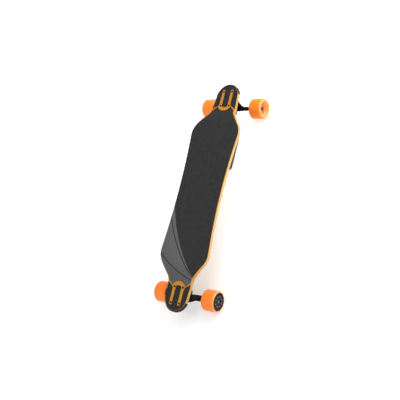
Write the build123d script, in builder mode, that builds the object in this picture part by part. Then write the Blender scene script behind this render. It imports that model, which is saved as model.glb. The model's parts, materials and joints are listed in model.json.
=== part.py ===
"""Drop-platform electric longboard on reverse-kingpin trucks, with two hub motors at the rear.

Frame, in millimetres: +X to the nose, +Y to the rider's left, +Z up. The origin is on the ground
under the middle of the board. The rear truck is the front truck turned half a turn about Z.
"""

from build123d import *
import math
import os

os.makedirs("parts", exist_ok=True)

# Wheels and track
WHEEL_R = 42.5
WHEEL_HALF = 29.0
TRACK_HALF = 118.7
CORE_R = 22.0
BEARING_R, BEARING_W = 11.0, 7.0
BEARING_OFFSET = 8.5
RUNNING_GAP = 0.05

# Board, seen from above
TRUCK_X = 420.4
BOLT_X, BOLT_Y = 63.5, 41.28
BOLT_R, BOLT_HEAD_R = 2.5, 4.7
WAIST_HALF = 104.3
WAIST_END = (230.0, 114.5)
SHOULDER = (273.9, 118.4)
NECK = (356.4, 56.9)
TIP_CENTRE, TIP_R = 430.0, 52.3
TIP_START_DEG = 86.5
SHOULDER_R, NECK_R = 70.0, 40.0

# Board, seen from the side
PLATFORM_Z = 121.0
DROP = 21.5
CAMBER, CAMBER_END = 2.25, 295.0
RAMP_TOP_X, RAMP_FOOT_X, RAMP_R = 312.0, 373.0, 100.0
STRIP_END = 495.0
DECK_T, VENEER_T, GRIP_T = 15.0, 1.2, 1.0
GRIP_INSET, END_GRIP_INSET = 1.5, 1.0

# Bare wood window round the truck bolts, half of it, then mirrored in Y
BUMP_X, BUMP_HALF = 365.6, 10.0
BUMP_SIDE = (371.5, 20.5)
BUMP_SHOULDER = (383.5, 33.0)
STRIP_Y, STRIP_HALF = BOLT_Y / 2, 7.0
STRIP_ROOT_X, STRIP_TIP_X = 398.0, 461.0
FINGER_X, FINGER_HALF = 382.0, STRIP_Y - STRIP_HALF
LINE_W = 3.0

# Truck
AXLE_X, AXLE_Z = TRUCK_X - 11.0, WHEEL_R
RAKE, RING_REACH, PIVOT_REACH = 7.0, 28.0, 14.0
SEAT_TO_RING = 22.0
RING_T, RING_HOLE_R = 9.0, 9.0
WASHER_T, BUSHING_R = 2.0, 14.5
KINGPIN_R = 4.76
PLATE_T = 6.0
NOSE_R, CUP_R, BOSS_R, CUP_MOUTH = 4.8, 6.4, 8.2, 2.0
AXLE_R, REAR_AXLE_R = 4.0, 5.0

# Hub motor
CAN_R, CAN_BORE_R, MAGNET_T, AIR_GAP = 36.5, 33.5, 2.5, 0.6
MOTOR_BEARING_R, MOTOR_BEARING_W = 13.0, 8.0
COVER_T = 6.0

# Cases under the board
CASE_TOP_Z = 127.0
FLANGE_T, WALL_T = 3.0, 2.5
BATTERY_X, BATTERY_Y, BATTERY_Z = (113.0, 276.0), 97.0, 95.5
ESC_X, ESC_Y, ESC_Z = (-224.0, -106.0), 68.0, 101.0
END_FLANGE, SIDE_FLANGE, TRAY_CORNER = 12.0, 4.0, 14.5
CELL_R, CELL_L, CELL_PITCH = 9.0, 65.0, 18.3
WIRE_Z, WIRE_R, WIRE_Y = 118.0, 2.4, 4.5
SCREW_R, SCREW_HEAD_R, SCREW_HEAD_T, SCREW_REACH = 1.9, 4.0, 2.4, 10.0

steer = Vector(1, 0, 1).normalized()
pin = Vector(1, 0, -1).normalized()
axle_point = Vector(AXLE_X, 0, AXLE_Z)
steer_foot = axle_point - pin * RAKE
ring_centre = steer_foot + steer * RING_REACH
pivot = steer_foot - steer * PIVOT_REACH
seat = ring_centre - pin * SEAT_TO_RING

STANDING_Z = PLATFORM_Z + DROP + CAMBER
UNDERSIDE_Z = PLATFORM_Z - DECK_T

bolt_points = [(TRUCK_X * end + dx, dy) for end in (1, -1)
               for dx in (-BOLT_X / 2, BOLT_X / 2) for dy in (-BOLT_Y / 2, BOLT_Y / 2)]
battery_screws = [(x, y) for x in (107.0, 282.0) for y in (-75.0, -25.0, 25.0, 75.0)]
esc_screws = [(x, y) for x in (-230.0, -100.0) for y in (-58.0, -22.0, 22.0, 58.0)]
GUARD_LIP_T, GUARD_LIP_W, GUARD_SCREW_R = 3.0, 10.0, TIP_R - 5.0
guard_screws = [(end * (TIP_CENTRE + GUARD_SCREW_R * math.cos(math.radians(turn))),
                 GUARD_SCREW_R * math.sin(math.radians(turn))) for end in (1, -1) for turn in (-42, 0, 42)]


def top_z(x):
    """Height of the bare wood's top surface on the cambered standing area."""
    return STANDING_Z - CAMBER * (x / CAMBER_END) ** 2


def along_pin(distance):
    """Plane square to the kingpin, that far from the bushing seat towards the nut."""
    return Plane(origin=seat + pin * distance, x_dir=(0, 1, 0), z_dir=pin)


def along_steer(distance):
    """Plane square to the steering axis, that far from the foot of the axle on it."""
    return Plane(origin=steer_foot + steer * distance, x_dir=(0, 1, 0), z_dir=steer)


def turned(shape):
    """The same piece at the other end of the board."""
    return shape.rotate(Axis.Z, 180)


def write(builder, name):
    builder.part.label = name
    export_step(builder.part, f"parts/{name}.step")


def side_curve(lift):
    """Long side view of the wood's top surface, moved up by lift, drawn on the XZ plane."""
    low, high = PLATFORM_Z + lift, STANDING_Z + lift
    edge = high - CAMBER
    crest = edge - 2 * CAMBER / CAMBER_END * (RAMP_TOP_X - CAMBER_END)
    ThreePointArc((-CAMBER_END, edge), (0, high), (CAMBER_END, edge))
    for end in (1, -1):
        FilletPolyline((end * CAMBER_END, edge), (end * RAMP_TOP_X, crest),
                       (end * RAMP_FOOT_X, low), (end * STRIP_END, low), radius=RAMP_R)


def side_band(top, bottom):
    """Full-width slab between two lifts of the side curve, in the part being built."""
    with BuildSketch(Plane.XZ) as strip:
        with BuildLine():
            side_curve(top)
            side_curve(bottom)
            for end in (1, -1):
                Line((end * STRIP_END, PLATFORM_Z + top), (end * STRIP_END, PLATFORM_Z + bottom))
        make_face()
    extrude(strip.sketch, amount=WAIST_HALF * 1.3, both=True)


with BuildSketch() as plan:
    with BuildLine():
        sag = WAIST_END[1] - WAIST_HALF
        ThreePointArc((0, WAIST_HALF), (WAIST_END[0] / 2, WAIST_HALF + sag / 4), WAIST_END)
        tip = CenterArc((TIP_CENTRE, 0), TIP_R, 0, TIP_START_DEG)
        FilletPolyline(WAIST_END, SHOULDER, NECK, tip @ 1, radius=(SHOULDER_R, NECK_R))
        mirror(about=Plane.YZ)
        mirror(about=Plane.XZ)
    make_face()

with BuildSketch() as grip_plan:
    add(plan.sketch)
    offset(amount=-GRIP_INSET, kind=Kind.INTERSECTION)

with BuildSketch() as end_grip_plan:
    add(plan.sketch)
    offset(amount=-END_GRIP_INSET, kind=Kind.INTERSECTION)

# The bare window is a bump towards the middle of the board and two strips over the bolt rows.
with BuildSketch() as window:
    with BuildLine():
        Polyline((BUMP_X, 0), (BUMP_X, BUMP_HALF), BUMP_SIDE, BUMP_SHOULDER,
                 (STRIP_ROOT_X, STRIP_Y + STRIP_HALF), (STRIP_ROOT_X, 0))
        mirror(about=Plane.XZ)
    make_face()
    for side in (1, -1):
        with Locations(((STRIP_ROOT_X + STRIP_TIP_X) / 2 - 3, side * STRIP_Y)):
            RectangleRounded(STRIP_TIP_X - STRIP_ROOT_X + 6, 2 * STRIP_HALF, 5)
    with Locations(((FINGER_X + STRIP_TIP_X) / 2, 0)):
        RectangleRounded(STRIP_TIP_X - FINGER_X, 2 * FINGER_HALF, 10, mode=Mode.SUBTRACT)

# The main sheet stops short of the board's edge along the neck, so a thin wedge of wood shows there.
NECK_INSET = ((363.0, 54.0), (351.5, 55.8), (289.0, 105.4), (268.0, 126.0))
PLATFORM_SHORE = (367.8, 62.0)


def layer(sketch, top, bottom):
    """A layer of the board: the slab between two lifts, cut to a plan outline."""
    side_band(top, bottom)
    extrude(sketch, amount=2 * STANDING_Z, mode=Mode.INTERSECT)


def bolt_holes(depth):
    """Through holes and flush head seats, in a layer whose top is depth below the wood's top."""
    sink = BOLT_HEAD_R + 0.3 - depth
    with Locations(*[(x, y, PLATFORM_Z - depth) for x, y in bolt_points]):
        if sink > 2.8:
            CounterSinkHole(radius=2.6, counter_sink_radius=sink, depth=DECK_T, counter_sink_angle=90)
        else:
            Hole(radius=2.6, depth=DECK_T)


def drill(points, z, radius, depth):
    """Round holes up from height z."""
    with BuildSketch(Plane.XY.offset(z)) as spots:
        with Locations(*points):
            Circle(radius)
    extrude(spots.sketch, amount=depth, mode=Mode.SUBTRACT)


def screw_holes():
    """Pilot holes for the wood screws that come up from below."""
    drill(battery_screws + esc_screws, CASE_TOP_Z - FLANGE_T, SCREW_R, SCREW_REACH + FLANGE_T)
    drill(guard_screws, UNDERSIDE_Z - GUARD_LIP_T, SCREW_R, SCREW_REACH)


# Board
with BuildPart() as top_veneer:
    layer(plan.sketch, 0, -VENEER_T)
    bolt_holes(0)
write(top_veneer, "top_veneer")

with BuildPart() as deck_core:
    layer(plan.sketch, -VENEER_T, VENEER_T - DECK_T)
    bolt_holes(VENEER_T)
    screw_holes()
write(deck_core, "deck_core")

with BuildPart() as bottom_veneer:
    layer(plan.sketch, VENEER_T - DECK_T, -DECK_T)
    bolt_holes(DECK_T - VENEER_T)
    screw_holes()
write(bottom_veneer, "bottom_veneer")

with BuildSketch() as main_side:
    with BuildLine():
        Polyline((BUMP_X, 0), (BUMP_X, BUMP_HALF), BUMP_SIDE, BUMP_SHOULDER, *NECK_INSET,
                 (250, 135), (0, 135))
        mirror(about=Plane.XZ)
        mirror(about=Plane.YZ)
    make_face()

with BuildPart() as grip_main:
    with BuildSketch() as main_outline:
        add(grip_plan.sketch)
        add(main_side.sketch, mode=Mode.INTERSECT)
    layer(main_outline.sketch, GRIP_T, 0)
write(grip_main, "grip_main")

with BuildPart() as grip_nose:
    with BuildSketch() as nose_outline:
        with BuildLine():
            Polyline((BUMP_X + 10, 0), (BUMP_X + 10, 18), (BUMP_SHOULDER[0] + LINE_W, BUMP_SHOULDER[1] + 2),
                     PLATFORM_SHORE, (380, 80), (500, 80), (500, 0))
            mirror(about=Plane.XZ)
        make_face()
        add(end_grip_plan.sketch, mode=Mode.INTERSECT)
        add(window.sketch, mode=Mode.SUBTRACT)
    layer(nose_outline.sketch, GRIP_T, 0)
write(grip_nose, "grip_nose")

with BuildPart() as grip_tail:
    add(turned(grip_nose.part))
write(grip_tail, "grip_tail")

# A rubber bumper wraps each tip, thickest at the end, with a lip under the board for three screws.
GUARD_T, GUARD_TOP_GAP, GUARD_FROM_X = 5.0, 2.0, 446.0
GUARD_SHIFT = 4.7
GUARD_R = TIP_R + GUARD_T - GUARD_SHIFT
with BuildPart() as nose_guard:
    for from_z, height, inner_r in ((UNDERSIDE_Z - GUARD_LIP_T, GUARD_LIP_T, TIP_R - GUARD_LIP_W),
                                    (UNDERSIDE_Z, DECK_T - GUARD_TOP_GAP, TIP_R)):
        with BuildSketch(Plane.XY.offset(from_z)):
            with Locations((TIP_CENTRE + GUARD_SHIFT, 0)):
                Circle(GUARD_R)
            with Locations((TIP_CENTRE, 0)):
                Circle(inner_r, mode=Mode.SUBTRACT)
            with Locations((GUARD_FROM_X, 0)):
                Rectangle(100, 140, align=(Align.MAX, Align.CENTER), mode=Mode.SUBTRACT)
        extrude(amount=height)
    outer = nose_guard.edges().filter_by(GeomType.CIRCLE).filter_by(lambda e: abs(e.radius - GUARD_R) < 0.05)
    fillet(outer, radius=1.2)
    drill(guard_screws[:3], UNDERSIDE_Z - GUARD_LIP_T, SCREW_R, GUARD_LIP_T)
write(nose_guard, "nose_guard")

with BuildPart() as tail_guard:
    add(turned(nose_guard.part))
write(tail_guard, "tail_guard")


# Trucks: die-cast baseplate with the bushing seat on a slope and the pivot socket at its foot
PLATE_X, PLATE_L, PLATE_W = 417.0, 92.0, 56.0
ARM_HALF, HEAD_DEPTH = 9.5, 12.0
cup_face = Plane(origin=pivot + steer * CUP_MOUTH, x_dir=(0, 1, 0), z_dir=-steer)
with BuildPart() as front_baseplate:
    slope_low = seat - steer * 17
    slope_high = seat + steer * 24
    boss_mouth = pivot + steer * (CUP_MOUTH - 0.6) - pin * (BOSS_R - 1.6)
    boss_back = pivot - steer * 6 - pin * (BOSS_R - 1.6)
    with BuildSketch(Plane.XZ):
        with BuildLine():
            Polyline((372, UNDERSIDE_Z - 2), (372, 62), (boss_back.X, boss_back.Z),
                     (boss_mouth.X, boss_mouth.Z), (slope_low.X, slope_low.Z),
                     (slope_high.X, slope_high.Z), (slope_high.X, UNDERSIDE_Z - 2), close=True)
        make_face()
    extrude(amount=ARM_HALF, both=True)
    fillet(front_baseplate.edges().filter_by(Axis.Y, reverse=True), radius=2.5)
    with BuildSketch(Plane.XY.offset(UNDERSIDE_Z - PLATE_T)):
        with Locations((PLATE_X, 0)):
            RectangleRounded(PLATE_L, PLATE_W, 10)
    extrude(amount=PLATE_T)
    with BuildSketch(along_pin(0)):
        Circle(16)
    extrude(amount=-15)
    with BuildSketch(cup_face):
        Circle(BOSS_R)
    extrude(amount=11)
    with BuildSketch(Plane.XY.offset(UNDERSIDE_Z - PLATE_T)):
        for side in (1, -1):
            with Locations((410, side * 18)):
                Rectangle(26, 4)
    extrude(amount=-9, taper=8)
    with BuildSketch(cup_face):
        Circle(CUP_R)
    extrude(amount=9.5, mode=Mode.SUBTRACT)
    with BuildSketch(along_pin(0)):
        Circle(KINGPIN_R)
    extrude(amount=-30, mode=Mode.SUBTRACT)
    with BuildSketch(along_pin(-HEAD_DEPTH)):
        Circle(8.7)
    extrude(amount=-40, mode=Mode.SUBTRACT)
    drill([(x, y) for x, y in bolt_points if x > 0], UNDERSIDE_Z - 3 * PLATE_T, 2.6, 3 * PLATE_T)
write(front_baseplate, "front_baseplate")

with BuildPart() as rear_baseplate:
    add(turned(front_baseplate.part))
write(rear_baseplate, "rear_baseplate")

with BuildPart() as pivot_cups:
    with BuildSketch(cup_face):
        Circle(CUP_R)
    extrude(amount=9.5)
    with BuildSketch(cup_face):
        Circle(NOSE_R + RUNNING_GAP)
    extrude(amount=CUP_MOUTH, mode=Mode.SUBTRACT)
    add(Sphere(NOSE_R + RUNNING_GAP, mode=Mode.PRIVATE).moved(Location(pivot)), mode=Mode.SUBTRACT)
    add(turned(pivot_cups.part))
write(pivot_cups, "pivot_cups")

# Kingpin, nut, washers and bushings stack along the pin from the seat: distances from the seat.
RING_NEAR = SEAT_TO_RING - RING_T / 2
RING_FAR = SEAT_TO_RING + RING_T / 2
ROAD_BUSHING_T, NUT_T = 13.0, 8.0
STACK_END = RING_FAR + ROAD_BUSHING_T + WASHER_T
with BuildPart() as kingpins:
    with BuildSketch(along_pin(-HEAD_DEPTH)):
        Circle(KINGPIN_R)
    extrude(amount=HEAD_DEPTH + STACK_END + NUT_T + 3)
    chamfer(kingpins.edges().sort_by(Axis(tuple(seat), tuple(pin)))[-1], length=1)
    with BuildSketch(along_pin(-HEAD_DEPTH)):
        RegularPolygon(8.2, 6)
    extrude(amount=-6)
    add(turned(kingpins.part))
write(kingpins, "kingpins")

with BuildPart() as kingpin_nuts:
    with BuildSketch(along_pin(STACK_END)):
        RegularPolygon(8.2, 6)
    extrude(amount=NUT_T)
    with BuildSketch(along_pin(STACK_END)):
        Circle(9.5)
    extrude(amount=NUT_T, taper=14, mode=Mode.INTERSECT)
    with BuildSketch(along_pin(STACK_END)):
        Circle(KINGPIN_R)
    extrude(amount=NUT_T, mode=Mode.SUBTRACT)
    add(turned(kingpin_nuts.part))
write(kingpin_nuts, "kingpin_nuts")

with BuildPart() as bushing_washers:
    for start in (0, STACK_END - WASHER_T):
        with BuildSketch(along_pin(start)):
            Circle(BUSHING_R - 0.5)
            Circle(KINGPIN_R, mode=Mode.SUBTRACT)
        extrude(amount=WASHER_T)
    add(turned(bushing_washers.part))
write(bushing_washers, "bushing_washers")

# The board-side bushing is a barrel and the road-side one a cone. Both have a neck in the ring.
NECK_T, BUSHING_NECK_R = 4.0, RING_HOLE_R - 0.1
with BuildPart() as front_bushings:
    with BuildSketch(along_pin(WASHER_T)):
        Circle(BUSHING_R)
    extrude(amount=RING_NEAR - WASHER_T)
    with BuildSketch(along_pin(RING_NEAR)):
        Circle(BUSHING_NECK_R)
    extrude(amount=NECK_T)
    with BuildSketch(along_pin(RING_FAR)):
        Circle(BUSHING_R)
    extrude(amount=ROAD_BUSHING_T, taper=12)
    with BuildSketch(along_pin(RING_FAR)):
        Circle(BUSHING_NECK_R)
    extrude(amount=-NECK_T)
    with BuildSketch(along_pin(WASHER_T)):
        Circle(KINGPIN_R)
    extrude(amount=STACK_END, mode=Mode.SUBTRACT)
write(front_bushings, "front_bushings")

with BuildPart() as rear_bushings:
    add(turned(front_bushings.part))
write(rear_bushings, "rear_bushings")

BOLT_END_Z = UNDERSIDE_Z - PLATE_T - 8
with BuildPart() as mounting_bolts:
    for x, y in bolt_points:
        with BuildSketch(Plane.XY.offset(BOLT_END_Z)):
            with Locations((x, y)):
                Circle(BOLT_R)
        extrude(amount=PLATFORM_Z - 0.2 - BOLT_END_Z)
        with BuildSketch(Plane.XY.offset(PLATFORM_Z - 0.2)):
            with Locations((x, y)):
                Circle(BOLT_HEAD_R)
        extrude(amount=BOLT_R - BOLT_HEAD_R, taper=45)
        with BuildSketch(Plane.XY.offset(PLATFORM_Z - 0.2)):
            with Locations((x, y)):
                RegularPolygon(1.75, 6)
        extrude(amount=-1.3, mode=Mode.SUBTRACT)
write(mounting_bolts, "mounting_bolts")

with BuildPart() as mounting_nuts:
    for x, y in bolt_points:
        with BuildSketch(Plane.XY.offset(UNDERSIDE_Z - PLATE_T)):
            with Locations((x, y)):
                RegularPolygon(4.6, 6)
                Circle(BOLT_R, mode=Mode.SUBTRACT)
        extrude(amount=-5)
write(mounting_nuts, "mounting_nuts")


def rod(x, y, length, radius, mode=Mode.ADD):
    """Round bar along +Y from y, on the axle line at this X."""
    bar = Plane(origin=(x, y, AXLE_Z), x_dir=(1, 0, 0), z_dir=(0, 1, 0))
    with BuildSketch(bar) as face:
        Circle(radius)
    extrude(face.sketch, amount=length, mode=mode)


# Half outlines of the hangers' webs: (distance along the steering axis, distance to the side)
FRONT_WEB = ((-4, 60), (6, 60), (10, 51), (17, 39), (26, 33), (36, 28), (42, 20), (45, 9), (45, 0))
REAR_WEB = ((-4, 66), (8, 66), (14, 60), (24, 52), (34, 43), (41, 32), (45, 19), (46, 8), (46, 0))


def hanger(beam_r, end_r, beam_end, axle_r, half_web):
    """Cast hanger: beam round the axle, wide web with the bushing hole, and pivot nose."""
    beam = Plane(origin=axle_point, x_dir=(0, 1, 0), z_dir=(1, 0, 0))
    with BuildSketch(beam) as half_beam:
        with BuildLine():
            Line((0, 0), (0, beam_r))
            Line((0, beam_r), (18, beam_r))
            Spline((18, beam_r), (48, end_r), tangents=((1, 0), (1, 0)))
            Line((48, end_r), (beam_end - 1, end_r))
            Line((beam_end - 1, end_r), (beam_end, end_r - 1))
            Line((beam_end, end_r - 1), (beam_end, 0))
            Line((beam_end, 0), (0, 0))
        make_face()
    revolve(half_beam.sketch, axis=Axis(tuple(axle_point), (0, 1, 0)))
    mirror(about=Plane.XZ)
    web = Plane(origin=steer_foot - pin * (RING_T / 2), x_dir=tuple(steer), z_dir=pin)
    with BuildSketch(web) as web_face:
        with BuildLine():
            Polyline((half_web[0][0], 0), *half_web)
            mirror(about=Plane.XZ)
        make_face()
    extrude(web_face.sketch, amount=RING_T)
    with BuildSketch(along_steer(0)) as nose_face:
        Circle(NOSE_R)
    extrude(nose_face.sketch, amount=-PIVOT_REACH)
    add(Sphere(NOSE_R, mode=Mode.PRIVATE).moved(Location(pivot)))
    with BuildSketch(along_pin(RING_NEAR)) as ring_hole:
        Circle(RING_HOLE_R)
    extrude(ring_hole.sketch, amount=RING_T, mode=Mode.SUBTRACT)
    rod(AXLE_X, -beam_end, 2 * beam_end, axle_r, Mode.SUBTRACT)


AXLE_WASHER_T = 0.75
HANGER_END = TRACK_HALF - BEARING_OFFSET - BEARING_W / 2 - AXLE_WASHER_T - RUNNING_GAP
with BuildPart() as front_hanger:
    hanger(11.0, 8.6, HANGER_END, AXLE_R, FRONT_WEB)
write(front_hanger, "front_hanger")

REAR_HANGER_END = 88.5
with BuildPart() as rear_hanger_ahead:
    hanger(11.2, 12.5, REAR_HANGER_END, REAR_AXLE_R, REAR_WEB)

with BuildPart() as rear_hanger:
    add(turned(rear_hanger_ahead.part))
write(rear_hanger, "rear_hanger")


def hex_ring(x, y, length, across_corners, bore):
    """Hexagon nut on the axle line at this X."""
    bar = Plane(origin=(x, y, AXLE_Z), x_dir=(1, 0, 0), z_dir=(0, 1, 0))
    with BuildSketch(bar) as face:
        RegularPolygon(across_corners / 2, 6)
        Circle(bore, mode=Mode.SUBTRACT)
    extrude(face.sketch, amount=length)


def spun(points, x, middle):
    """Turned piece: (across, radius) points about the axle line at this X, across from middle."""
    half = Plane(origin=(x, middle, AXLE_Z), x_dir=(0, 1, 0), z_dir=(1, 0, 0))
    with BuildSketch(half) as face:
        with BuildLine():
            Polyline(*points, close=True)
        make_face()
    revolve(face.sketch, axis=Axis((x, 0, AXLE_Z), (0, 1, 0)))


# Front axle, its washers and lock nuts
OUTER_FACE = TRACK_HALF + BEARING_OFFSET + BEARING_W / 2 + RUNNING_GAP
LOCK_NUT_T = 6.5
AXLE_END = OUTER_FACE + AXLE_WASHER_T + LOCK_NUT_T + 1.5
with BuildPart() as front_axle:
    rod(AXLE_X, -AXLE_END, 2 * AXLE_END, AXLE_R)
    chamfer(front_axle.edges().filter_by(GeomType.CIRCLE), length=0.8)
write(front_axle, "front_axle")

with BuildPart() as front_axle_hardware:
    for start in (HANGER_END, OUTER_FACE):
        spun([(0, AXLE_R), (0, 6.2), (AXLE_WASHER_T, 6.2), (AXLE_WASHER_T, AXLE_R)], AXLE_X, start)
    hex_ring(AXLE_X, OUTER_FACE + AXLE_WASHER_T, LOCK_NUT_T - 1.5, 15.0, AXLE_R)
    collar = [(0, AXLE_R), (0, 6.2), (1.5, 5.4), (1.5, AXLE_R)]
    spun(collar, AXLE_X, OUTER_FACE + AXLE_WASHER_T + LOCK_NUT_T - 1.5)
    mirror(about=Plane.XZ)
write(front_axle_hardware, "front_axle_hardware")


def both_sides(builder, name):
    """Write a left-hand wheel piece and its mirror image on the right."""
    builder.part.label = f"{name[0]}_left_{name[1]}"
    export_step(builder.part, f"parts/{name[0]}_left_{name[1]}.step")
    with BuildPart() as right:
        mirror(builder.part, about=Plane.XZ)
    right.part.label = f"{name[0]}_right_{name[1]}"
    export_step(right.part, f"parts/{name[0]}_right_{name[1]}.step")


# Front wheels: urethane tyre on a moulded core, a bearing pressed into each side of the core
CORE_HALF = 13.0
with BuildPart() as front_tyre:
    wheel_half = Plane(origin=(AXLE_X, TRACK_HALF, AXLE_Z), x_dir=(0, 1, 0), z_dir=(1, 0, 0))
    with BuildSketch(wheel_half):
        with BuildLine():
            FilletPolyline((-CORE_HALF, CORE_R), (-26, 30), (-WHEEL_HALF, 31), (-WHEEL_HALF, WHEEL_R),
                           (23.5, WHEEL_R), (WHEEL_HALF, 37), (WHEEL_HALF, 32.5), (26, 31),
                           (CORE_HALF, CORE_R), radius=(2, 1, 10, 5, 1.6, 1, 3))
            Line((CORE_HALF, CORE_R), (-CORE_HALF, CORE_R))
        make_face()
    revolve(axis=Axis((AXLE_X, 0, AXLE_Z), (0, 1, 0)))
both_sides(front_tyre, ("front", "tyre"))

SEAT_IN, SEAT_OUT = BEARING_OFFSET - BEARING_W / 2, BEARING_OFFSET + BEARING_W / 2
with BuildPart() as front_core:
    spun([(-CORE_HALF, CORE_R), (CORE_HALF, CORE_R), (CORE_HALF, 14), (CORE_HALF + 1.5, 13.2),
          (CORE_HALF + 1.5, 12.2), (SEAT_OUT, BEARING_R), (SEAT_IN, BEARING_R), (SEAT_IN, 9),
          (-SEAT_IN, 9), (-SEAT_IN, BEARING_R), (-SEAT_OUT, BEARING_R), (-CORE_HALF - 1.5, 12.2),
          (-CORE_HALF - 1.5, 13.2), (-CORE_HALF, 14)], AXLE_X, TRACK_HALF)
    core_face = Plane(origin=(AXLE_X, TRACK_HALF + CORE_HALF, AXLE_Z), x_dir=(1, 0, 0), z_dir=(0, 1, 0))
    with BuildSketch(core_face):
        with PolarLocations(17.8, 12):
            SlotOverall(5, 3.4, rotation=90)
    extrude(amount=-5, mode=Mode.SUBTRACT)
both_sides(front_core, ("front", "core"))


def bearing(x, middle, bore, rim, width):
    """Ball bearing with its two shields set in from the faces."""
    half, low, high, dip = width / 2, bore + 0.28 * (rim - bore), rim - 0.22 * (rim - bore), 0.5
    back = [(-half, bore), (-half, low), (dip - half, low), (dip - half, high), (-half, high), (-half, rim)]
    spun(back + [(-u, r) for u, r in reversed(back)], x, middle)


with BuildPart() as front_bearings:
    for side in (-1, 1):
        bearing(AXLE_X, TRACK_HALF + side * BEARING_OFFSET, AXLE_R + RUNNING_GAP, BEARING_R, BEARING_W)
both_sides(front_bearings, ("front", "bearings"))

# Rear hub motors: the can, its back plate, magnets, cover and tyre sleeve turn on the fixed axle
CAN_IN, CAN_OUT, WALL = -27.0, 23.0, 4.0
MOTOR_SEATS = (CAN_IN + MOTOR_BEARING_W / 2, CAN_OUT - MOTOR_BEARING_W / 2)
HUB_R = 17.0
MAGNETS, STACK_HALF = 28, 14.0
with BuildPart() as rotor:
    spun([(CAN_IN + WALL, CAN_R), (CAN_OUT, CAN_R), (CAN_OUT, MOTOR_BEARING_R),
          (CAN_OUT - MOTOR_BEARING_W, MOTOR_BEARING_R), (CAN_OUT - MOTOR_BEARING_W, HUB_R),
          (CAN_OUT - WALL, HUB_R), (CAN_OUT - WALL, CAN_BORE_R), (CAN_IN + WALL, CAN_BORE_R)],
         -AXLE_X, TRACK_HALF)
both_sides(rotor, ("rear", "rotor"))

with BuildPart() as back_plate:
    spun([(CAN_IN, CAN_R - 1), (CAN_IN + 1, CAN_R), (CAN_IN + WALL, CAN_R), (CAN_IN + WALL, HUB_R),
          (CAN_IN + MOTOR_BEARING_W, HUB_R), (CAN_IN + MOTOR_BEARING_W, MOTOR_BEARING_R),
          (CAN_IN, MOTOR_BEARING_R)], -AXLE_X, TRACK_HALF)
both_sides(back_plate, ("rear", "back_plate"))

with BuildPart() as magnets:
    spun([(-STACK_HALF - 1, CAN_BORE_R - MAGNET_T), (-STACK_HALF - 1, CAN_BORE_R),
          (STACK_HALF + 1, CAN_BORE_R), (STACK_HALF + 1, CAN_BORE_R - MAGNET_T)], -AXLE_X, TRACK_HALF)
    with BuildSketch(Plane(origin=(-AXLE_X, TRACK_HALF - 20, AXLE_Z), x_dir=(1, 0, 0), z_dir=(0, 1, 0))):
        with PolarLocations(CAN_BORE_R, MAGNETS):
            Rectangle(8, 1.0)
    extrude(amount=40, mode=Mode.SUBTRACT)
both_sides(magnets, ("rear", "magnets"))

COVER_RECESS_R, FINS, COVER_SCREWS = 11.5, 24, 8
COVER_SCREW_RING = 20.5
cover_face = Plane(origin=(-AXLE_X, TRACK_HALF + CAN_OUT + COVER_T, AXLE_Z), x_dir=(1, 0, 0), z_dir=(0, 1, 0))
with BuildPart() as cover:
    spun([(CAN_OUT, COVER_RECESS_R), (CAN_OUT, CAN_R), (CAN_OUT + COVER_T - 1.5, CAN_R),
          (CAN_OUT + COVER_T, CAN_R - 1.5), (CAN_OUT + COVER_T, COVER_RECESS_R + 3),
          (CAN_OUT + COVER_T - 1, COVER_RECESS_R + 1)], -AXLE_X, TRACK_HALF)
    with BuildSketch(cover_face):
        with PolarLocations(28.6, FINS):
            Trapezoid(4.6, 9.4, 83, rotation=90)
    extrude(amount=-2.2, mode=Mode.SUBTRACT)
    with BuildSketch(cover_face):
        with PolarLocations(COVER_SCREW_RING, COVER_SCREWS, start_angle=7.5):
            Circle(2.7)
    extrude(amount=-1.6, mode=Mode.SUBTRACT)
    with BuildSketch(cover_face):
        with PolarLocations(COVER_SCREW_RING, COVER_SCREWS, start_angle=7.5):
            Circle(1.4)
    extrude(amount=-COVER_T, mode=Mode.SUBTRACT)
both_sides(cover, ("rear", "cover"))

with BuildPart() as cover_screws:
    with BuildSketch(cover_face.offset(-1.6)):
        with PolarLocations(COVER_SCREW_RING, COVER_SCREWS, start_angle=7.5):
            Circle(2.6)
    extrude(amount=1.4, taper=15)
    with BuildSketch(cover_face.offset(-1.6)):
        with PolarLocations(COVER_SCREW_RING, COVER_SCREWS, start_angle=7.5):
            Circle(1.4)
    extrude(amount=1.6 - COVER_T)
    with BuildSketch(cover_face.offset(-0.2)):
        with PolarLocations(COVER_SCREW_RING, COVER_SCREWS, start_angle=7.5):
            RegularPolygon(1.1, 6)
    extrude(amount=-1.0, mode=Mode.SUBTRACT)
both_sides(cover_screws, ("rear", "cover_screws"))

with BuildPart() as sleeve:
    sleeve_half = Plane(origin=(-AXLE_X, TRACK_HALF, AXLE_Z), x_dir=(0, 1, 0), z_dir=(1, 0, 0))
    with BuildSketch(sleeve_half):
        with BuildLine():
            FilletPolyline((-WHEEL_HALF + 0.5, CAN_R), (-WHEEL_HALF, CAN_R + 0.5), (-WHEEL_HALF, WHEEL_R),
                           (23.5, WHEEL_R), (WHEEL_HALF, 38.6), (WHEEL_HALF, CAN_R + 0.3),
                           (WHEEL_HALF - 0.3, CAN_R), radius=(0.2, 4.5, 5, 0.5, 0.1))
            Line((WHEEL_HALF - 0.3, CAN_R), (-WHEEL_HALF + 0.5, CAN_R))
        make_face()
    revolve(axis=Axis((-AXLE_X, 0, AXLE_Z), (0, 1, 0)))
both_sides(sleeve, ("rear", "sleeve"))

with BuildPart() as rear_bearings:
    for middle in MOTOR_SEATS:
        bearing(-AXLE_X, TRACK_HALF + middle, REAR_AXLE_R + RUNNING_GAP, MOTOR_BEARING_R, MOTOR_BEARING_W)
both_sides(rear_bearings, ("rear", "bearings"))

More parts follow.
